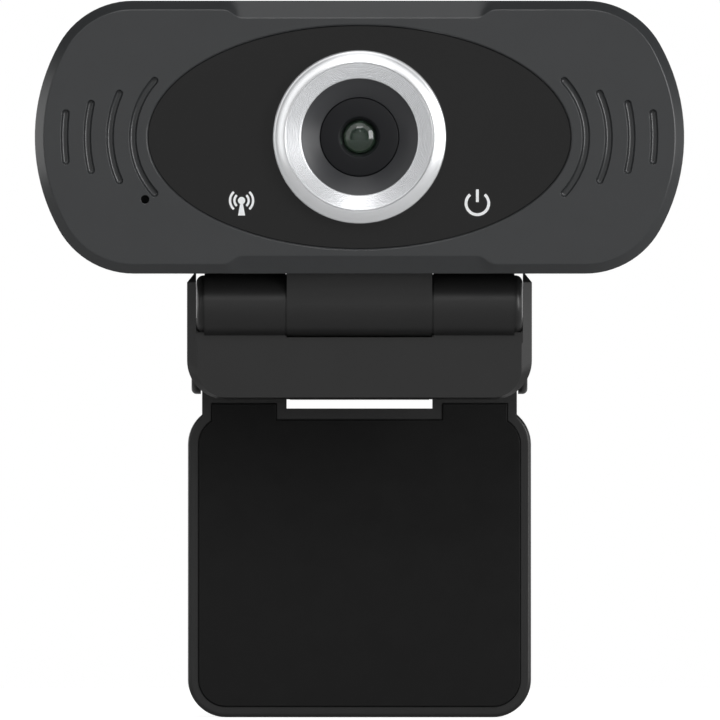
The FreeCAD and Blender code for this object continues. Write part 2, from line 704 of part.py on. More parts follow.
def board_parts():
    """Chips, crystal, capacitors, LEDs, connector, sensor and filter."""
    back = ("board_rear", "(board_rear + chip_thickness)")
    keep(head_block("controller_chip", ("0 - chip_half", "chip_half"), back, ("0", "2 * chip_half")),
         "controller_chip")
    keep(head_block("memory_chip", ("2 * chip_half", "3 * chip_half"), back, ("memory_low", "memory_high")),
         "memory_chip")
    keep(head_block("clock_crystal", ("0 - 3 * chip_half", "0 - 2 * chip_half"), back,
                    ("crystal_low", "crystal_high")),
         "clock_crystal")
    small = [head_block("capacitor", (f"{x}", f"{x} + capacitor_length"),
                        ("board_rear", "(board_rear + capacitor_width)"),
                        (f"({z})", f"({z}) + capacitor_width"))
             for x in (-15, -11, 10, 13) for z in (-3, -5)]
    group("capacitors", small)
    lights = [head_block("led", (f"{side} * icon_across - led_half_length",
                                 f"{side} * icon_across + led_half_length"),
                         ("(board_front - led_height)", "board_front"),
                         ("(0 - icon_drop - led_half_height)", "(led_half_height - icon_drop)"))
              for side in SIDES]
    group("status_leds", lights)
    keep(head_block("cable_connector", ("0 - connector_half", "connector_half"),
                    ("board_rear", "(board_rear + connector_depth)"),
                    ("(0 - gland_drop)", "(connector_height - gland_drop)")),
         "cable_connector")
    keep(head_block("image_sensor", ("0 - sensor_half", "sensor_half"),
                    ("(board_front - sensor_thickness)", "board_front"),
                    ("(0 - sensor_half)", "sensor_half")), "image_sensor")
    keep(head_block("infrared_filter", ("0 - sensor_half - filter_overlap", "sensor_half + filter_overlap"),
                    ("filter_front", "(filter_front + filter_thickness)"),
                    ("(0 - sensor_half - filter_overlap)", "(sensor_half + filter_overlap)")),
         "infrared_filter")


# ---------------------------------------------------------------- microphone and gland
def off_axis(thing, x, depth, z):
    return place(thing, x, f"head_front + {depth}", f"head_middle + {z}")


def microphone():
    boot = turned("microphone_boot", "YZ_Plane", [
        ("0", "mic_hole"), ("0", "boot_radius"),
        ("boot_height", "boot_radius"), ("boot_height", "mic_radius"),
        ("boot_height - mic_height", "mic_radius"), ("boot_height - mic_height", "mic_hole")])
    capsule = turned("microphone", "YZ_Plane", [
        ("boot_height - mic_height", "0"), ("boot_height - mic_height", "mic_radius"),
        ("boot_height", "mic_radius"), ("boot_height", "0")])
    for thing in (boot, capsule):
        off_axis(thing, "0 - mic_across", "face_wall", "(0 - mic_drop)")
        keep(thing, thing.Name)


def cable_gland():
    """The rubber grommet where the cable leaves the back, with an open bore."""
    gland = turned("cable_gland", "YZ_Plane", [
        ("rear_wall - gland_flange", "gland_bore"), ("rear_wall - gland_flange", "gland_radius"),
        ("rear_wall", "gland_radius"), ("rear_wall", "gland_neck"), ("head_depth", "gland_neck"),
        ("head_depth", "gland_radius"), ("head_depth + gland_proud - gland_edge", "gland_radius"),
        ("head_depth + gland_proud", "gland_radius - gland_edge"),
        ("head_depth + gland_proud", "gland_bore")])
    off_axis(gland, "0", "0", "(0 - gland_drop)")
    keep(gland, "cable_gland")


# ---------------------------------------------------------------- screws
def screw(shank, head, head_height, length):
    """A cross-headed screw that points along +Z from the seat of its head at the origin."""
    body = Part.makeCylinder(shank, length)
    cap = Part.makeCylinder(head, head_height, Vector(0, 0, -head_height))
    cap = cap.makeFillet(head_height / 3, [edge for edge in cap.Edges
                                          if edge.BoundBox.ZMax < 1e-6 - head_height / 2])
    arm, width, deep = head * 0.6, head * 0.18, head_height * 0.6
    cross = [block((-arm, -width, -head_height), (arm, width, deep - head_height)),
             block((-width, -arm, -head_height), (width, arm, deep - head_height))]
    return body.fuse(cap).cut(cross)


def screws(name, one, seats, turn):
    """The same screw at every seat."""
    pieces = []
    for seat in seats:
        copy = one.copy()
        copy.Placement = FreeCAD.Placement(Vector(*seat), turn)
        pieces.append(copy)
    return shaped(name, Part.Compound(pieces))


def head_point(x, depth, z):
    return (x, size.head_front + depth, size.head_middle + z)


def all_screws():
    backwards = ALONG_Y
    forwards = FreeCAD.Rotation(ACROSS, 90)
    down = FreeCAD.Rotation(ACROSS, 180)
    height = size.screw_head_height
    seat = size.panel_back + height + size.screw_sink
    big = screw(size.shell_screw, size.shell_screw_head, height, size.boss_end - seat + size.thread_depth)
    screws("shell_screws", big, [head_point(x, seat, z) for x, z in screw_places()], backwards)
    little = screw(size.small_screw, size.small_screw_head, height, size.board_thickness + size.screw_reach)
    screws("board_screws", little, [head_point(x, size.board_front, z) for x, z in board_screw_places()],
           backwards)
    grip = size.board_rear - size.filter_front
    short = screw(size.small_screw, size.small_screw_head, height, grip)
    screws("holder_screws", short, [head_point(x, size.board_rear, z) for x, z in holder_screw_places()],
           forwards)
    bottom = size.shell_wall - size.head_height / 2
    upright = screw(size.small_screw, size.small_screw_head, height, size.shell_wall + size.neck_bite)
    screws("neck_screws", upright, [head_point(side * neck_screw_across(), neck_screw_depth(), bottom)
                                    for side in SIDES], down)
    seat = size.cover_front + size.cover_seat
    leg = screw(size.small_screw, size.shell_screw_head, size.leg_rear - seat, seat - size.cavity_front)
    screws("leg_screws", leg, [(x, seat, z) for x, z in leg_screw_places()], forwards)


# ---------------------------------------------------------------- tilt hinge
def hinge_rod(name, radius, start, length):
    return rod(name, radius, length, (start, "tilt_place", "tilt_height"), ALONG_X)


def neck_block():
    """The head's half of the tilt hinge: a flat-fronted block, round below, bored for pin and bushes."""
    round_part = hinge_rod("neck_round", "tilt_radius", "0 - neck_half", "2 * neck_half")
    upper = box("neck_upper", ("0 - neck_half", "tilt_place - tilt_radius", "tilt_height"),
                ("neck_half", "tilt_place + tilt_radius", "head_bottom"))
    bores = [hinge_rod("neck_bore", "tilt_pin + pin_clearance", "0 - neck_half", "2 * neck_half"),
             hinge_rod("left_seat", "bush_radius", "0 - neck_half", "bush_length"),
             hinge_rod("right_seat", "bush_radius", "neck_half - bush_length", "bush_length")]
    bores.append(box("neck_top", ("0 - neck_half", "tilt_place - tilt_radius", "head_bottom"),
                     ("neck_half", "tilt_place + tilt_radius", "head_bottom + tilt_radius")))
    for side in SIDES:
        bores.append(rod("pilot", "small_screw", "neck_bite",
                         (f"{side} * neck_half / 2", f"head_front + {neck_screw_depth()}",
                          "head_bottom - neck_bite"), ALONG_Z))
    keep(cut("neck_block", joined("neck_solid", [round_part, upper]), bores), "neck_block")


def ring_across(name, corners):
    """A ring turned about the tilt axis; corners are (across, radius)."""
    return place(turned(name, "XZ_Plane", corners), "0", "tilt_place", "tilt_height")


def sleeve(name, start, end, outer, bore):
    return ring_across(name, [(start, bore), (start, outer), (end, outer), (end, bore)])


def tilt_hinge():
    """Pin, bushes in the neck, friction washers and the domed caps at the barrels' ends."""
    bore = "tilt_pin + running_gap"
    group("hinge_bushes", [
        sleeve("left_bush", "0 - neck_half", "bush_length - neck_half", "bush_radius", bore),
        sleeve("right_bush", "neck_half - bush_length", "neck_half", "bush_radius", bore)])
    keep(hinge_rod("tilt_pin", "tilt_pin", "0 - barrel_end", "2 * barrel_end"), "tilt_pin")
    group("friction_washers", [
        sleeve("left_washer", "0 - bearing_start", "washer_thickness - bearing_start",
               "tilt_washer", "tilt_pin"),
        sleeve("right_washer", "bearing_start - washer_thickness", "bearing_start",
               "tilt_washer", "tilt_pin")])
    for name, side in (("left_hinge_cap", -1), ("right_hinge_cap", 1)):
        near = f"{side} * barrel_end"
        far = f"{side} * (barrel_end + cap_length)"
        rim = "tilt_radius - cap_inset"
        cap = ring_across(name, [(near, "0"), (near, rim), (far, rim), (far, "0")])
        tip = side * number("barrel_end + cap_length")
        round_edges(cap, name + "_dome", "cap_length - cap_edge",
                    lambda edge: edge.BoundBox.XLength < 1e-6 and abs(middle(edge).x - tip) < 1e-6)
        keep(cap, name)


# ---------------------------------------------------------------- bracket
def lip_outline(depth, inset, bottom_inset):
    """The bracket seen from the front: lip with round lower corners, cheeks with chamfered tops."""
    half = size.bracket_half - inset
    bottom = bottom_inset - size.lip_bottom
    corner = size.lip_corner - inset
    top = size.cheek_top
    shoulder = top - size.cheek_slope
    slant = corner * (1 - math.sqrt(0.5))

    def at(x, z):
        return (x, depth, z)

    return [
        line(at(size.cheek_chamfer - half, top), at(half - size.cheek_chamfer, top)),
        line(at(half - size.cheek_chamfer, top), at(half, shoulder)),
        line(at(half, shoulder), at(half, bottom + corner)),
        arc(at(half, bottom + corner), at(half - slant, bottom + slant), at(half - corner, bottom)),
        line(at(half - corner, bottom), at(corner - half, bottom)),
        arc(at(corner - half, bottom), at(slant - half, bottom + slant), at(-half, bottom + corner)),
        line(at(-half, bottom + corner), at(-half, shoulder)),
        line(at(-half, shoulder), at(size.cheek_chamfer - half, top)),
    ]


def rod_across(radius, low, high, y, z):
    return Part.makeCylinder(radius, high - low, Vector(low, y, z), ACROSS)


def clip_bracket():
    """The moulded bracket: front lip, cheeks, hinge barrels, top plate and the fold hinge's knuckles."""
    band_back = size.lip_band_depth - size.lip_front
    front = ruled_solid(lip_outline(-size.lip_front, size.lip_band, size.lip_bottom_band),
                        lip_outline(band_back, 0, 0))
    lip = front.fuse(face_of(lip_outline(band_back, 0, 0)).extrude(Vector(0, size.cheek_back, 0)))
    half = size.bracket_half
    top = size.cheek_top + 1
    above = block((-half, -2 * size.lip_front, size.tilt_height), (half, 0, top))
    round_top = rod_across(size.tilt_radius, -half, half, -size.tilt_back, size.tilt_height)
    lip = lip.cut([block((-size.cheek_inner, -2 * size.lip_front, size.lip_top), (size.cheek_inner, 0, top)),
                   block((-half, -size.plate_front, -size.leg_bottom), (half, 0, size.pad_proud)),
                   above.cut(round_top)])
    plate = block((-half, -size.plate_front, size.pad_proud), (half, size.plate_rear, size.plate_top))
    knuckle = rod_across(size.knuckle_radius, -size.knuckle_half, size.knuckle_half, size.fold_back,
                         size.fold_height)
    knuckle_web = block((-size.knuckle_half, size.fold_back - size.knuckle_radius, size.fold_height),
                        (size.knuckle_half, size.fold_back, size.plate_top))
    ear = rod_across(size.ear_radius, size.ear_inner, size.ear_outer, size.fold_back, size.fold_height)
    ear = softened(ear, size.ear_rounding, lambda edge: edge.BoundBox.XMin > size.ear_outer - 1e-4)
    ear_web = block((size.ear_inner, size.fold_back - size.ear_radius, size.fold_height),
                    (size.ear_outer - size.ear_rounding, size.fold_back, size.plate_top))
    barrel = rod_across(size.tilt_radius, size.bearing_start, size.barrel_end, -size.tilt_back,
                        size.tilt_height)
    web = block((size.bearing_start, -size.lip_front, size.pad_proud),
                (size.cheek_inner, -size.tilt_back + size.tilt_radius, size.tilt_height - 2))
    sides = both_sides(ear) + both_sides(ear_web) + both_sides(barrel) + both_sides(web)
    bracket = lip.fuse([plate, knuckle, knuckle_web] + sides).removeSplitter()
    room = size.tilt_radius + size.swing_room
    leg_room = size.leg_knuckle_radius + size.hinge_gap
    cap_room = size.tilt_radius - size.cap_inset
    cuts = [rod_across(room, -size.bearing_start, size.bearing_start, -size.tilt_back, size.tilt_height),
            rod_across(size.tilt_pin, -size.barrel_end, size.barrel_end, -size.tilt_back, size.tilt_height),
            rod_across(size.fold_pin, -size.ear_outer, size.ear_outer, size.fold_back, size.fold_height)]
    cuts += both_sides(rod_across(leg_room, size.knuckle_half, size.ear_inner, size.fold_back,
                                  size.fold_height))
    cuts += both_sides(rod_across(cap_room, size.barrel_end, size.cheek_inner, -size.tilt_back,
                                  size.tilt_height))
    cuts += [rest_pad_block(), lip_pad_block()]
    shaped("clip_bracket", bracket.cut(cuts).removeSplitter())


def rest_pad_block():
    return block((-size.pad_half, -size.rest_half, 0), (size.pad_half, size.rest_half, size.pad_thickness))


def lip_pad_block():
    face = -size.plate_front + size.pad_proud
    return block((-size.pad_half, face - size.pad_thickness, -size.lip_pad_bottom),
                 (size.pad_half, face, -size.lip_pad_top))


def rubber_pads():
    """The two thin rubber pads that touch the monitor."""
    half = size.pad_thickness / 2
    shaped("rest_pad", softened(rest_pad_block(), size.pad_corner, lambda edge: edge.BoundBox.ZLength > half))
    shaped("lip_pad", softened(lip_pad_block(), size.pad_corner, lambda edge: edge.BoundBox.YLength > half))


# ---------------------------------------------------------------- leg
def leg_edges(inset, top, top_half):
    """The leg's outline from a level top, over the shoulders and round the lower corners, inset all round."""
    half = size.leg_half - inset
    bottom = inset - size.leg_bottom
    corner = size.leg_corner - inset
    slant = corner * (1 - math.sqrt(0.5))
    shoulder = size.shoulder_radius - inset
    centre_x = size.leg_half - size.shoulder_radius
    rise = math.sqrt(shoulder ** 2 - (top_half - centre_x) ** 2)
    lean = math.atan2(rise, top_half - centre_x) / 2
    arc_top = rise - size.shoulder_side
    depth = size.leg_front

    def at(x, z):
        return (x, depth, z)

    right = [
        arc(at(top_half, arc_top),
            at(centre_x + shoulder * math.cos(lean), shoulder * math.sin(lean) - size.shoulder_side),
            at(half, -size.shoulder_side)),
        line(at(half, -size.shoulder_side), at(half, bottom + corner)),
        arc(at(half, bottom + corner), at(half - slant, bottom + slant), at(half - corner, bottom)),
    ]
    if top - arc_top > 1e-6:
        right.append(line(at(top_half, top), at(top_half, arc_top)))
    left = [edge.mirror(Vector(), ACROSS) for edge in right]
    return right + left + [line(at(half - corner, bottom), at(corner - half, bottom))]


def leg_face():
    """The whole leg from the front, up to the hinge axis, with its slot."""
    top, half, slot = size.fold_height, size.leg_neck_half, size.slot_half
    depth = size.leg_front
    floor = -size.slot_bottom
    edges = leg_edges(0, top, half) + [
        line((half, depth, top), (slot, depth, top)),
        line((slot, depth, top), (slot, depth, floor)),
        line((slot, depth, floor), (-slot, depth, floor)),
        line((-slot, depth, floor), (-slot, depth, top)),
        line((-slot, depth, top), (-half, depth, top)),
    ]
    return face_of(edges)


def pad_face():
    """The rubber pad from the front, with two ears beside the crossbar under the slot."""
    inner, outer, top = size.pad_ear_inner, size.pad_ear_outer, -size.pad_ear_top
    depth = size.leg_front
    notch = -size.slot_bottom - size.crossbar
    edges = leg_edges(size.leg_border, top, outer) + [
        line((outer, depth, top), (inner, depth, top)),
        line((inner, depth, top), (inner, depth, notch)),
        line((inner, depth, notch), (-inner, depth, notch)),
        line((-inner, depth, notch), (-inner, depth, top)),
        line((-inner, depth, top), (-outer, depth, top)),
    ]
    return face_of(edges)


def lower_face(inset, top):
    """The leg's outline below a level line that crosses its shoulders, inset all round."""
    centre_x = size.leg_half - size.shoulder_radius
    across = centre_x + math.sqrt((size.shoulder_radius - inset) ** 2 - (size.shoulder_side + top) ** 2)
    depth = size.leg_front
    return face_of(leg_edges(inset, top, across) + [line((across, depth, top), (-across, depth, top))])


def thick(face, start, end):
    """A face drawn level with the leg's front, padded between two depths."""
    moved = face.copy()
    moved.translate(Vector(0, start - size.leg_front, 0))
    return moved.extrude(Vector(0, end - start, 0))


def leg_screw_places():
    return [(side * size.leg_screw_across, -drop) for side in SIDES
            for drop in (size.leg_screw_high, size.leg_screw_low)]


def post(radius, start, end, x, z):
    return Part.makeCylinder(radius, end - start, Vector(x, start, z), BACK)


def leg_frame():
    """The leg's moulded frame: slot and knuckles above, a shallow tray for the pad, a hollow behind."""
    frame = thick(leg_face(), size.leg_front, size.leg_rear)
    rims = [edge for edge in frame.Edges if edge.BoundBox.YLength < 1e-6
            and middle(edge).z < size.fold_height - size.leg_knuckle_radius
            and not (abs(middle(edge).x) < size.slot_half + 0.1 and middle(edge).z > -size.leg_bottom / 2)]
    frame = frame.makeFillet(size.leg_edge, rims)
    knuckle = rod_across(size.leg_knuckle_radius, size.slot_half, size.leg_neck_half,
                         size.fold_back, size.fold_height)
    frame = frame.fuse(both_sides(knuckle))
    cuts = [thick(pad_face().makeOffset2D(size.pad_gap), size.leg_front - 1, size.leg_floor),
            thick(lower_face(size.cover_border, -size.cover_top), size.cover_front, size.leg_rear + 1)]
    cavity = thick(lower_face(size.cavity_border, size.cover_border - size.cavity_border - size.cover_top),
                   size.cavity_front, size.cover_front)
    root = size.cavity_front - size.boss_merge
    bosses = [post(size.small_screw + size.boss_wall, root, size.cover_front, x, z)
              for x, z in leg_screw_places()]
    bosses.append(post(size.insert_radius + 2 * size.insert_wall, root, size.cover_front, 0,
                       -size.insert_drop))
    cuts.append(cavity.cut(bosses))
    cuts += [post(size.small_screw, size.cavity_front, size.cover_front, x, z) for x, z in leg_screw_places()]
    cuts.append(post(size.insert_radius + size.insert_wall, size.cavity_front, size.cover_front, 0,
                     -size.insert_drop))
    cuts.append(rod_across(size.fold_pin + size.running_gap, -size.ear_inner, size.ear_inner, size.fold_back,
                           size.fold_height))
    shaped("leg_frame", frame.cut(cuts))


def leg_pad():
    """The rubber pad on the leg's front, which presses on the back of the monitor."""
    pad = thick(pad_face(), size.leg_front - size.leg_pad_proud, size.leg_floor)
    front = [edge for edge in pad.Edges
             if edge.BoundBox.YMax < size.leg_front - size.leg_pad_proud + 1e-4]
    shaped("leg_pad", pad.makeFillet(size.leg_pad_proud / 2, front))


def leg_back_cover():
    """The plate that closes the leg behind, with holes for its screws and the tripod insert."""
    border = size.cover_border + size.fit_gap
    cover = thick(lower_face(border, -size.cover_top - size.fit_gap), size.cover_front, size.leg_rear)
    cuts = [post(size.insert_radius + size.insert_wall, size.cover_front, size.leg_rear, 0, -size.insert_drop)]
    for x, z in leg_screw_places():
        cuts.append(post(size.small_screw, size.cover_front, size.leg_rear, x, z))
        cuts.append(post(size.shell_screw_head + size.running_gap, size.cover_front + size.cover_seat,
                         size.leg_rear, x, z))
    shaped("leg_back_cover", cover.cut(cuts))


def tripod_insert():
    """The brass insert whose quarter-inch thread takes a tripod's screw, open at the leg's back."""
    wall = "insert_radius + insert_wall"
    insert = turned("tripod_insert", "YZ_Plane", [
        ("0", "insert_radius"), ("0", wall), ("insert_length", wall), ("insert_length", "insert_radius")])
    place(insert, "0", "leg_rear - insert_length", "0 - insert_drop")
    keep(insert, "tripod_insert")


def fold_hinge():
    """The steel pin of the fold hinge and the two washers beside the middle knuckle."""
    keep(rod("fold_pin", "fold_pin", "2 * ear_outer", ("0 - ear_outer", "fold_back", "fold_height"), ALONG_X),
         "fold_pin")
    washers = []
    for name, side in (("left_fold_washer", -1), ("right_fold_washer", 1)):
        near, far = f"{side} * knuckle_half", f"{side} * (slot_half - 2 * washer_slack)"
        washer = turned(name, "XZ_Plane", [(near, "fold_pin"), (near, "fold_washer"),
                                           (far, "fold_washer"), (far, "fold_pin")])
        washers.append(place(washer, "0", "fold_back", "fold_height"))
    group("fold_washers", washers)


# ---------------------------------------------------------------- build, check and write
def build():
    front_shell()
    rear_shell()
    front_panel()
    icons()
    light_guides()
    lens_ring()
    lens_hood()
    lens_barrel()
    lens_stack()
    lens_holder()
    main_board()
    board_parts()
    microphone()
    cable_gland()
    neck_block()
    tilt_hinge()
    clip_bracket()
    rubber_pads()
    leg_frame()
    leg_pad()
    leg_back_cover()
    tripod_insert()
    fold_hinge()
    all_screws()


def check():
    """Stop if any object failed to compute or any sub-part is not a sound solid."""
    doc.recompute()
    failed = [thing.Name for thing in doc.Objects if {"Invalid", "Error"} & set(thing.State)]
    unsound = [node.Label for node in nodes if node.Shape.isNull() or not node.Shape.isValid()
               or not node.Shape.Solids]
    if failed or unsound:
        raise RuntimeError(f"failed objects {failed}, unsound sub-parts {unsound}")


def write():
    os.makedirs("parts", exist_ok=True)
    for node in nodes:
        node.Shape.exportStep(f"parts/{node.Label}.step")
        print(f"{node.Label}: {len(node.Shape.Solids)} solid(s), {node.Shape.Volume:.2f} mm3")


build()
check()
write()
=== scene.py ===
"""Looks for the webcam on its folding monitor clip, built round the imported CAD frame. Metres."""
import math
from collections import namedtuple

import bmesh
import bpy
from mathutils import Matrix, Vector

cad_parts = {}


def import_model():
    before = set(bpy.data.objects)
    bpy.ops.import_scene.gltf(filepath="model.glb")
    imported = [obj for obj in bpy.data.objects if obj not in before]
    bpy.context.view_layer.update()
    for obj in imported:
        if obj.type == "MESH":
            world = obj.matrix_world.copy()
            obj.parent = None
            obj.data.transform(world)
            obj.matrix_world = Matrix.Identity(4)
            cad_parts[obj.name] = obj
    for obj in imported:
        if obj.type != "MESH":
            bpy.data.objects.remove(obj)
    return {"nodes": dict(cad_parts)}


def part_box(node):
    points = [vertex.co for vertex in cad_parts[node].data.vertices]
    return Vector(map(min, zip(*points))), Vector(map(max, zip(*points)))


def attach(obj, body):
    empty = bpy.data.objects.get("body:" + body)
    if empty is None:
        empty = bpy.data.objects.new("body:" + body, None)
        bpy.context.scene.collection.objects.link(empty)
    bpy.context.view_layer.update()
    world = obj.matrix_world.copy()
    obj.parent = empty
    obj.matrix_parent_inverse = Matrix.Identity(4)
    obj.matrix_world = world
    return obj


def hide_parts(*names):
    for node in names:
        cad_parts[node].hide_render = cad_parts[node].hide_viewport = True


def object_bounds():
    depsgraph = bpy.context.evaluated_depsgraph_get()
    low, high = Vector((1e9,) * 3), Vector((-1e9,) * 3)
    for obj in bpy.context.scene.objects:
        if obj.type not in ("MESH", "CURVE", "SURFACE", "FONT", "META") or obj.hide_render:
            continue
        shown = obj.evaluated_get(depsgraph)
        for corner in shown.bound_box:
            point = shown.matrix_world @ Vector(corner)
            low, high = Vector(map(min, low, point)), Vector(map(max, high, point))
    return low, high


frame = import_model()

MM = 0.001
nodes = frame["nodes"]


def corners():
    return [list(corner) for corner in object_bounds()]


cad_box = corners()

# ---------------------------------------------------------------- places read from the frame
RING_LOW, RING_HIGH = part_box("lens_ring")
LENS_X = (RING_LOW.x + RING_HIGH.x) / 2
LENS_Z = (RING_LOW.z + RING_HIGH.z) / 2
FLOOR_Z = cad_box[0][2]

# ---------------------------------------------------------------- sizes that two pieces share
FUNNEL_MOUTH = 9 * MM
FUNNEL_WALL = FUNNEL_MOUTH + 1.15 * MM

# ---------------------------------------------------------------- soft lights in the sky
# Each light is full within full degrees of toward, and has faded out at none degrees.
SkyLight = namedtuple("SkyLight", "toward full none radiance")
FRONT = (0, -1, 0)
RING_RADIANCE = 1.65
SKY_LIGHTS = {
    "dim room": SkyLight(FRONT, 90, 180, 0.1),
    "front fill": SkyLight(FRONT, 12, 36, 0.72),
    "ring light": SkyLight(FRONT, 52, 66, RING_RADIANCE),
    "hole in the ring light": SkyLight(FRONT, 34, 44, -RING_RADIANCE),
    "right side": SkyLight((1, -0.25, 0), 10, 26, 2.6),
    "left side": SkyLight((-1, 0.25, 0), 10, 26, 2.2),
    "above": SkyLight((0, -0.5, 1), 8, 22, 0.9),
    "right rear": SkyLight((1, 0.9, 0), 12, 32, 1.4),
    "left rear": SkyLight((-1, 0.9, 0), 12, 32, 1.4),
    "backdrop": SkyLight((0, 1, 0.1), 40, 68, 0.85),
}


def radius_of(node):
    low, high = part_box(node)
    return (high.x - low.x) / 2


# ---------------------------------------------------------------- materials
class Look:
    """A node material: a Principled shader, and short calls for the texture nodes that feed it."""

    def __init__(self, slot, colour, roughness, **values):
        self.slot = slot
        self.material = bpy.data.materials.new(slot + "_look")
        self.material.use_nodes = True
        self.tree = self.material.node_tree
        self.shader = self.tree.nodes["Principled BSDF"]
        self.shader.inputs["Base Color"].default_value = (*colour, 1)
        self.shader.inputs["Roughness"].default_value = roughness
        for socket, value in values.items():
            self.shader.inputs[socket.replace("_", " ")].default_value = value
        self.place = self.node("ShaderNodeTexCoord").outputs["Object"]

    def node(self, kind, **settings):
        made = self.tree.nodes.new(kind)
        for name, value in settings.items():
            if name in made.bl_rna.properties:
                setattr(made, name, value)
            else:
                made.inputs[name.replace("_", " ")].default_value = value
        return made

    def link(self, source, target):
        self.tree.links.new(source, target)

    def noise(self, size, detail=2, roughness=0.5, stretch=(1, 1, 1)):
        """Noise whose features are about size metres across."""
        mapping = self.node("ShaderNodeMapping", Scale=stretch)
        self.link(self.place, mapping.inputs["Vector"])
        texture = self.node("ShaderNodeTexNoise", Scale=1 / size, Detail=detail, Roughness=roughness)
        self.link(mapping.outputs["Vector"], texture.inputs["Vector"])
        return texture.outputs["Fac"]

    def spread(self, source, low, high, start=0.3, end=0.7):
        """Source, from start to end, as a number from low to high."""
        spread = self.node("ShaderNodeMapRange", From_Min=start, From_Max=end, To_Min=low, To_Max=high)
        self.link(source, spread.inputs["Value"])
        return spread.outputs["Result"]

    def colours(self, source, low, high, start=0.3, end=0.7):
        ramp = self.node("ShaderNodeValToRGB")
        for stop, place, colour in zip(ramp.color_ramp.elements, (start, end), (low, high)):
            stop.position = place
            stop.color = (*colour, 1)
        self.link(source, ramp.inputs["Fac"])
        self.link(ramp.outputs["Color"], self.shader.inputs["Base Color"])
        return self

    def uneven(self, low, high, size=4 * MM):
        """Roughness that wanders a little over the surface."""
        self.link(self.spread(self.noise(size, 3), low, high), self.shader.inputs["Roughness"])
        return self

    def mottled(self, low, high, size=6 * MM):
        return self.colours(self.noise(size, 3), low, high)

    def bump(self, height, depth, below=None):
        """Height as a bump depth metres deep, on top of an earlier one."""
        bump = self.node("ShaderNodeBump", Strength=1, Distance=depth)
        self.link(height, bump.inputs["Height"])
        if below:
            self.link(below, bump.inputs["Normal"])
        self.link(bump.outputs["Normal"], self.shader.inputs["Normal"])
        return bump.outputs["Normal"]

    def rounded(self, radius):
        """Normals that turn softly round each edge."""
        return self.node("ShaderNodeBevel", samples=8, Radius=radius).outputs["Normal"]

    def grain(self, size, depth, detail=2, stretch=(1, 1, 1)):
        self.bump(self.noise(size, detail, 0.55, stretch), depth)
        return self


def grey(value, warm=0.0):
    return (value * (1 + warm), value, value * (1 - warm))


def turned_finish(look, pitch, depth):
    """Fine rings about the lens axis, as a lathe leaves them."""
    shift = look.node("ShaderNodeMapping", Location=(-LENS_X, 0, -LENS_Z), Scale=(1, 0, 1))
    look.link(look.place, shift.inputs["Vector"])
    length = look.node("ShaderNodeVectorMath", operation="LENGTH")
    look.link(shift.outputs["Vector"], length.inputs[0])
    spaced = look.node("ShaderNodeMath", operation="MULTIPLY")
    spaced.inputs[1].default_value = 1 / pitch
    look.link(length.outputs["Value"], spaced.inputs[0])
    rings = look.node("ShaderNodeTexNoise", noise_dimensions="1D", Scale=1, Detail=2)
    look.link(spaced.outputs["Value"], rings.inputs["W"])
    look.bump(rings.outputs["Fac"], depth)
    return look


def moulded(slot, shade, tint, gloss, grain_depth, rounding=0):
    """Dark moulded plastic with a fine spark-eroded grain and slow drifts of shade and gloss."""
    shade_drift = 0.03
    gloss_drift = 0.012
    look = Look(slot, grey(shade, tint), gloss)
    look.mottled(grey(shade * (1 - shade_drift), tint), grey(shade * (1 + shade_drift), tint))
    look.uneven(gloss - gloss_drift, gloss + gloss_drift)
    edges = look.rounded(rounding) if rounding else None
    fine = look.bump(look.noise(0.14 * MM, 3, 0.6), grain_depth, below=edges)
    look.bump(look.noise(0.4 * MM, 2), grain_depth / 2, below=fine)
    return look


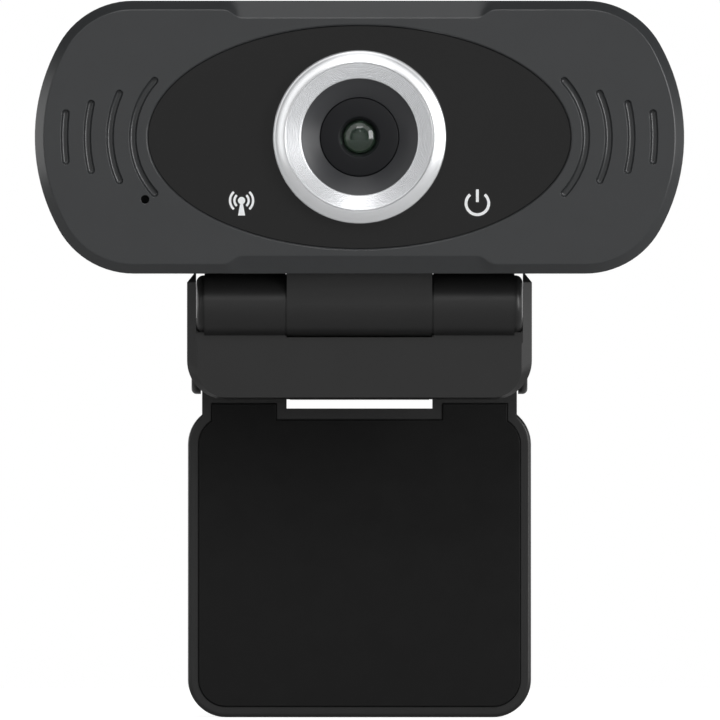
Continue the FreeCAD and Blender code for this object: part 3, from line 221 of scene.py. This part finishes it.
def looks():
    """One material for each slot of the record."""
    case = moulded("case_plastic", 0.0325, -0.05, 0.25, 0.002 * MM, 0.2 * MM)
    # The clip plastic is the case plastic at half its shade and with a lower specular level: painted shade
    # for the shadow that falls on the bracket and leg under the head.
    clip = moulded("clip_plastic", 0.0165, 0.0, 0.34, 0.004 * MM)
    clip.shader.inputs["Specular IOR Level"].default_value = 0.38

    panel = Look("panel_plastic", grey(0.006), 0.24, Specular_IOR_Level=0.36)
    panel.uneven(0.21, 0.27, 9 * MM).grain(1.5 * MM, 0.001 * MM)

    icon = Look("icon_plastic", grey(0.9), 0.35, Subsurface_Weight=0.1)
    icon.mottled(grey(0.88), grey(0.93), 1 * MM).grain(0.2 * MM, 0.002 * MM)

    clear = Look("clear_plastic", (0.86, 0.89, 0.9), 0.12, Transmission_Weight=0.9, IOR=1.49)
    clear.grain(2 * MM, 0.004 * MM)

    ring = Look("ring_metal", (0.89, 0.9, 0.915), 0.25, Metallic=0.7, Specular_IOR_Level=0.6)
    ring.mottled((0.875, 0.885, 0.9), (0.905, 0.915, 0.93), 2 * MM)
    turned_finish(ring, 0.09 * MM, 0.003 * MM)

    hood = Look("hood_plastic", (0.033, 0.034, 0.037), 0.34)
    hood.mottled((0.0315, 0.0325, 0.0355), (0.0345, 0.0355, 0.0385), 3 * MM)
    turned_finish(hood, 0.05 * MM, 0.001 * MM)

    barrel = Look("barrel_plastic", (0.005, 0.0054, 0.0068), 0.5, Specular_IOR_Level=0.24)
    barrel.uneven(0.46, 0.54, 2 * MM).grain(0.12 * MM, 0.003 * MM)

    glass = Look("coated_glass", (0.4, 0.64, 0.44), 0.0, Transmission_Weight=1.0, IOR=1.56)
    glass.uneven(0.0, 0.015, 2 * MM)

    board = Look("circuit_board", (0.012, 0.1, 0.045), 0.3, Coat_Weight=0.5, Coat_Roughness=0.15)
    board.mottled((0.01, 0.085, 0.038), (0.015, 0.12, 0.055), 1.2 * MM).grain(0.7 * MM, 0.01 * MM)

    chip = Look("chip_plastic", grey(0.014), 0.55)
    chip.mottled(grey(0.012), grey(0.016), 1 * MM).grain(0.08 * MM, 0.006 * MM)

    can = Look("small_metal", grey(0.6), 0.3, Metallic=1.0)
    can.uneven(0.25, 0.38, 1 * MM).grain(0.1 * MM, 0.003 * MM, 2, (1, 1, 12))

    ceramic = Look("ceramic_parts", (0.42, 0.3, 0.19), 0.45)
    ceramic.mottled((0.38, 0.27, 0.17), (0.46, 0.33, 0.21), 0.5 * MM).grain(0.1 * MM, 0.005 * MM)

    led = Look("led_plastic", (0.85, 0.85, 0.74), 0.3)
    led.mottled((0.83, 0.83, 0.72), (0.88, 0.88, 0.78), 0.6 * MM).grain(0.15 * MM, 0.003 * MM)

    rubber = Look("soft_rubber", grey(0.0066), 0.6, Specular_IOR_Level=0.16)
    rubber.mottled(grey(0.0062), grey(0.007), 5 * MM).uneven(0.55, 0.66)
    soft = rubber.bump(rubber.noise(0.2 * MM, 3, 0.6), 0.008 * MM)
    rubber.bump(rubber.noise(1.4 * MM, 2), 0.008 * MM, below=soft)

    steel = Look("steel", grey(0.5, 0.01), 0.32, Metallic=1.0)
    steel.uneven(0.26, 0.4, 1 * MM).grain(0.1 * MM, 0.004 * MM, 3, (14, 1, 1))

    nylon = Look("nylon", grey(0.02), 0.45)
    nylon.mottled(grey(0.018), grey(0.022), 2 * MM).grain(0.2 * MM, 0.004 * MM)

    brass = Look("brass", (0.72, 0.5, 0.22), 0.28, Metallic=1.0)
    brass.mottled((0.66, 0.45, 0.19), (0.76, 0.54, 0.26), 1 * MM).grain(0.12 * MM, 0.005 * MM)

    made = (case, clip, panel, icon, clear, ring, hood, barrel, glass, board, chip, can, ceramic, led,
            rubber, steel, nylon, brass)
    return {look.slot: look.material for look in made}


def deep_glass():
    """The inner lens elements, with a lilac coating that barely reflects."""
    look = Look("coated_glass_inner", (0.45, 0.42, 0.55), 0.0, Transmission_Weight=1.0, IOR=1.4,
                Specular_Tint=(1, 0.72, 1, 1))
    return look.uneven(0.0, 0.02, 2 * MM).material


materials = looks()
inner_coating = deep_glass()


def dress(piece, slot):
    piece.data.materials.clear()
    piece.data.materials.append(materials[slot])


def slot_of(node):
    """The CAD node's slot, from the name that the import gave its material."""
    return nodes[node].data.materials[0].name.split(".")[0]


# ---------------------------------------------------------------- meshes
def add_piece(name, mesh, slot, body, *stands_for):
    piece = bpy.data.objects.new(name, mesh)
    bpy.context.scene.collection.objects.link(piece)
    dress(piece, slot)
    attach(piece, body)
    if stands_for:
        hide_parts(*stands_for)
    return piece


def arc(start, end, bulge, steps=8):
    """Points from start to end on a curve that leaves the chord by bulge, to its left."""
    along = Vector(end) - Vector(start)
    side = Vector((-along.y, along.x)).normalized()
    points = []
    for step in range(steps + 1):
        share = step / steps
        points.append(tuple(Vector(start) + along * share + side * bulge * 4 * share * (1 - share)))
    return points


def about_lens(depth, radius, angle):
    return (LENS_X + radius * math.cos(angle), depth, LENS_Z + radius * math.sin(angle))


def turned(name, profile, slot, *stands_for, closed=True, steps=192, crease=30, place=about_lens,
           body="head"):
    """A profile of (depth, radius) points turned about an axis, the lens's if no other is given."""
    mesh = bpy.data.meshes.new(name)
    work = bmesh.new()
    rings = []
    for depth, radius in profile:
        count = steps if radius > 1e-9 else 1
        angles = [math.tau * turn / count for turn in range(count)]
        rings.append([work.verts.new(place(depth, radius, angle)) for angle in angles])
    pairs = list(zip(rings, rings[1:]))
    if closed:
        pairs.append((rings[-1], rings[0]))
    for first, second in pairs:
        for turn in range(steps):
            ahead = (turn + 1) % steps
            around = [first[turn % len(first)], first[ahead % len(first)],
                      second[ahead % len(second)], second[turn % len(second)]]
            distinct = list(dict.fromkeys(around))
            if len(distinct) > 2:
                work.faces.new(distinct)
    bmesh.ops.recalc_face_normals(work, faces=work.faces)
    work.to_mesh(mesh)
    work.free()
    mesh.shade_smooth()
    mesh.set_sharp_from_angle(angle=math.radians(crease))
    return add_piece(name, mesh, slot, body, *stands_for)


# ---------------------------------------------------------------- lens front
def silver_ring():
    """The silver ring: a rounded outer edge, a sloping crest, and turned grooves down to the funnel."""
    crest = RING_LOW.y
    seat = RING_HIGH.y
    outer = radius_of("lens_ring")
    crest_fall = crest + 0.75 * MM
    edge = 0.3 * MM
    edge_depth = 0.35 * MM
    step = 0.06 * MM
    slope_start = 11.25 * MM
    lip = crest + 0.8 * MM
    lip_land = 0.15 * MM
    lip_round = 0.12 * MM
    lip_thickness = 0.4 * MM

    profile = [(seat, outer)]
    profile += arc((crest_fall + edge_depth, outer), (crest_fall, outer - edge), -step)
    profile += arc((crest_fall - step / 2, outer - edge - step), (crest + step / 3, slope_start + edge),
                   -step, 12)
    profile += arc((crest + step / 6, slope_start + edge - step), (crest + edge, slope_start), -step / 2, 4)
    profile += ring_grooves((crest + edge, slope_start), (lip, FUNNEL_MOUTH + lip_land))
    profile += arc((lip, FUNNEL_MOUTH + 0.1 * MM), (lip + lip_round, FUNNEL_MOUTH), step / 3, 4)
    profile += [(lip + lip_thickness, FUNNEL_MOUTH), (lip + lip_thickness, FUNNEL_WALL), (seat, FUNNEL_WALL)]
    turned("silver_ring", profile, "ring_metal", "lens_ring", crease=20)


def ring_grooves(start, end, grooves=9):
    """Points of a slope cut into flat lands, with a fine groove after each. Points are (depth, radius)."""
    drop = (end[0] - start[0]) / grooves
    land = (start[1] - end[1]) / grooves
    # share of the drop, share of the land, and the groove's own depth
    shape = ((0, 0.08, 0), (0.75, 0.72, 0), (0.75, 0.8, 0.09 * MM), (0.95, 0.94, 0.06 * MM))
    points = []
    for groove in range(grooves):
        for down, across, cut in shape:
            points.append((start[0] + (groove + down) * drop + cut, start[1] - (groove + across) * land))
    return points


def dark_funnel():
    """The dark funnel inside the ring, with a fine rounded lip where it meets the silver."""
    low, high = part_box("lens_hood")
    barrel = radius_of("lens_barrel") + 0.05 * MM
    barrel_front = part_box("lens_barrel")[0].y
    flange = radius_of("lens_hood")
    flange_front = high.y - 1.2 * MM
    corner = 0.02 * MM
    lip_depth = 0.1 * MM
    lip_width = 0.12 * MM

    profile = arc((low.y + corner, FUNNEL_MOUTH + corner), (low.y + lip_depth, FUNNEL_MOUTH - lip_width),
                  corner, 4)
    profile += arc((low.y + lip_depth + corner, FUNNEL_MOUTH - lip_width - 1.5 * corner),
                   (barrel_front - lip_depth, barrel + lip_width), -3 * corner, 12)
    profile += [(barrel_front, barrel), (high.y, barrel), (high.y, flange), (flange_front, flange),
                (flange_front, FUNNEL_WALL), (low.y, FUNNEL_WALL), (low.y, FUNNEL_MOUTH + 3 * corner)]
    turned("dark_funnel", profile, "hood_plastic", "lens_hood")


def black_barrel():
    """The black barrel: a soft outer edge, a flat front disc and a bevelled mouth round the glass."""
    low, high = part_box("lens_barrel")
    outer = radius_of("lens_barrel")
    bore = radius_of("front_lens")
    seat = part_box("front_lens")[1].y - 1.8 * MM
    mouth = 2.7 * MM
    edge = 0.25 * MM
    bevel_outer = mouth + 0.55 * MM
    bevel_inner = mouth + 0.3 * MM
    bevel_depth = 0.16 * MM
    corner = 0.04 * MM

    profile = [(high.y, outer)]
    profile += arc((low.y + edge, outer), (low.y, outer - edge), -0.05 * MM, 6)
    profile += [(low.y, bevel_outer + 0.07 * MM)]
    profile += arc((low.y, bevel_outer), (low.y + bevel_depth, bevel_inner), -0.03 * MM, 5)
    profile += arc((low.y + bevel_depth + corner, bevel_inner - corner), (seat - 0.1 * MM, mouth),
                   0.05 * MM, 6)
    profile += [(seat, mouth), (seat, bore), (high.y, bore)]
    turned("black_barrel", profile, "barrel_plastic", "lens_barrel")


def glass_element(name, node, front_rise, rear_rise):
    """A lens element with true curved faces: a dome rises outwards where its rise is positive."""
    low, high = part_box(node)
    edge = radius_of(node)
    front = low.y + max(front_rise, 0)
    rear = high.y - max(rear_rise, 0)
    clear = 2.6 * MM
    steps = 20

    def dome(base, rise, outwards):
        curve = (clear ** 2 + rise ** 2) / (2 * abs(rise))
        points = []
        for step in range(steps + 1):
            radius = clear * step / steps
            lift = math.sqrt(curve ** 2 - radius ** 2) - (curve - abs(rise))
            points.append((base + outwards * math.copysign(lift, rise), radius))
        return points

    profile = dome(front, front_rise, -1) + [(front, edge), (rear, edge)]
    profile += reversed(dome(rear, rear_rise, 1))
    return turned(name, profile, "coated_glass", node, closed=False, steps=96, crease=40)


def glasses():
    glass_element("domed_glass", "front_lens", front_rise=0.85 * MM, rear_rise=-0.5 * MM)
    inner = [glass_element("inner_glass", "middle_lens", front_rise=-0.55 * MM, rear_rise=0.25 * MM),
             glass_element("rear_glass", "rear_lens", front_rise=0.25 * MM, rear_rise=0.2 * MM)]
    for element in inner:
        element.data.materials[0] = inner_coating


# ---------------------------------------------------------------- hinge
def hinge_washers():
    """The tilt hinge's friction washers, pressed flat against both sides, so no light shows between."""
    low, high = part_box("friction_washers")
    centre_y = (low.y + high.y) / 2
    centre_z = (low.z + high.z) / 2
    outer = (high.z - low.z) / 2
    bore = 1.65 * MM
    slack = 0.05 * MM
    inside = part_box("neck_block")[1].x
    outside = high.x + slack

    def about_hinge(depth, radius, angle):
        return (depth, centre_y + radius * math.cos(angle), centre_z + radius * math.sin(angle))

    for name, side, stands_for in (("left_friction_washer", -1, ("friction_washers",)),
                                   ("right_friction_washer", 1, ())):
        profile = [(side * inside, bore), (side * inside, outer),
                   (side * outside, outer), (side * outside, bore)]
        turned(name, profile, "nylon", *stands_for, steps=96, place=about_hinge, body="bracket")


# ---------------------------------------------------------------- CAD nodes
def dress_nodes():
    for name, node in nodes.items():
        dress(node, slot_of(name))
        node.data.shade_smooth()


# ---------------------------------------------------------------- studio
def area_light(name, place, target, width, height, radiance):
    """A soft rectangular light of the given radiance."""
    data = bpy.data.lights.new(name, "AREA")
    data.shape = "RECTANGLE"
    data.size = width
    data.size_y = height
    data.energy = radiance * math.pi * width * height
    light = bpy.data.objects.new(name, data)
    light.location = place
    light.rotation_euler = (Vector(target) - Vector(place)).to_track_quat("-Z", "Y").to_euler()
    bpy.context.scene.collection.objects.link(light)


def sum_of(tree, sockets):
    total = sockets[0]
    for socket in sockets[1:]:
        added = tree.nodes.new("ShaderNodeMath")
        tree.links.new(total, added.inputs[0])
        tree.links.new(socket, added.inputs[1])
        total = added.outputs["Value"]
    return total


def glow(tree, name, light):
    """A soft round light in the sky, as a number that follows the direction."""
    direction = tree.nodes.new("ShaderNodeTexCoord")
    along = tree.nodes.new("ShaderNodeVectorMath")
    along.operation = "DOT_PRODUCT"
    along.inputs[1].default_value = Vector(light.toward).normalized()
    tree.links.new(direction.outputs["Generated"], along.inputs[0])
    fade = tree.nodes.new("ShaderNodeMapRange")
    fade.label = name
    fade.interpolation_type = "SMOOTHSTEP"
    fade.inputs["From Min"].default_value = math.cos(math.radians(light.none))
    fade.inputs["From Max"].default_value = math.cos(math.radians(light.full))
    fade.inputs["To Min"].default_value = 0.0
    fade.inputs["To Max"].default_value = light.radiance
    tree.links.new(along.outputs["Value"], fade.inputs["Value"])
    return fade.outputs["Result"]


def world():
    """White to the camera. In light and reflections, a dim room with the soft lights of the sky."""
    made = bpy.data.worlds.new("studio")
    made.use_nodes = True
    tree = made.node_tree
    tree.nodes.clear()
    output = tree.nodes.new("ShaderNodeOutputWorld")
    choose = tree.nodes.new("ShaderNodeMixShader")
    paths = tree.nodes.new("ShaderNodeLightPath")
    seen = tree.nodes.new("ShaderNodeBackground")
    room = tree.nodes.new("ShaderNodeBackground")
    seen.inputs["Color"].default_value = (1, 1, 1, 1)
    tree.links.new(paths.outputs["Is Camera Ray"], choose.inputs["Fac"])
    tree.links.new(room.outputs["Background"], choose.inputs[1])
    tree.links.new(seen.outputs["Background"], choose.inputs[2])
    tree.links.new(choose.outputs["Shader"], output.inputs["Surface"])
    lights = [glow(tree, name, light) for name, light in SKY_LIGHTS.items()]
    tree.links.new(sum_of(tree, lights), room.inputs["Strength"])
    bpy.context.scene.world = made


def floor():
    """A pale round floor under the leg, nearly white to the camera and dimmer as a light."""
    radius = 0.45
    glow_in_light = 0.02
    glow_to_camera = 0.75
    mesh = bpy.data.meshes.new("floor")
    work = bmesh.new()
    bmesh.ops.create_circle(work, cap_ends=True, segments=96, radius=radius)
    bmesh.ops.translate(work, verts=work.verts, vec=(0, 0, FLOOR_Z))
    work.to_mesh(mesh)
    work.free()
    made = bpy.data.objects.new("floor", mesh)
    bpy.context.scene.collection.objects.link(made)
    look = Look("floor_paper", grey(0.62), 0.8, Specular_IOR_Level=0.1)
    look.shader.inputs["Emission Color"].default_value = (1, 1, 1, 1)
    seen = look.node("ShaderNodeLightPath").outputs["Is Camera Ray"]
    strength = look.spread(seen, glow_in_light, glow_to_camera, 0, 1)
    look.link(strength, look.shader.inputs["Emission Strength"])
    look.mottled(grey(0.61), grey(0.63), 30 * MM)
    mesh.materials.append(look.material)


def camera():
    """A long lens straight in front, level, with the object filling the frame."""
    distance = 5.0
    view_width = 110.77 * MM
    middle_x = 0.08 * MM
    middle_z = -2.32 * MM
    data = bpy.data.cameras.new("camera")
    data.sensor_width = 36
    data.lens = data.sensor_width * distance / view_width
    data.clip_start = 0.1
    data.clip_end = 100
    made = bpy.data.objects.new("camera", data)
    made.location = (middle_x, RING_LOW.y - distance, middle_z)
    made.rotation_euler = (math.pi / 2, 0, 0)
    bpy.context.scene.collection.objects.link(made)
    bpy.context.scene.camera = made


def studio():
    world()
    floor()
    camera()
    middle = (0, 0, 0.01)
    area_light("key_right", (0.72, -0.68, 0.2), middle, width=0.3, height=0.55, radiance=6.5)
    area_light("top_strip", (0, -0.76, 0.66), middle, width=0.36, height=0.12, radiance=6.0)
    area_light("spot", (0.03, -0.9, 0.44), middle, width=0.06, height=0.06, radiance=24.0)
    bpy.context.scene.view_settings.view_transform = "Standard"


dress_nodes()
silver_ring()
dark_funnel()
black_barrel()
glasses()
hinge_washers()
studio()
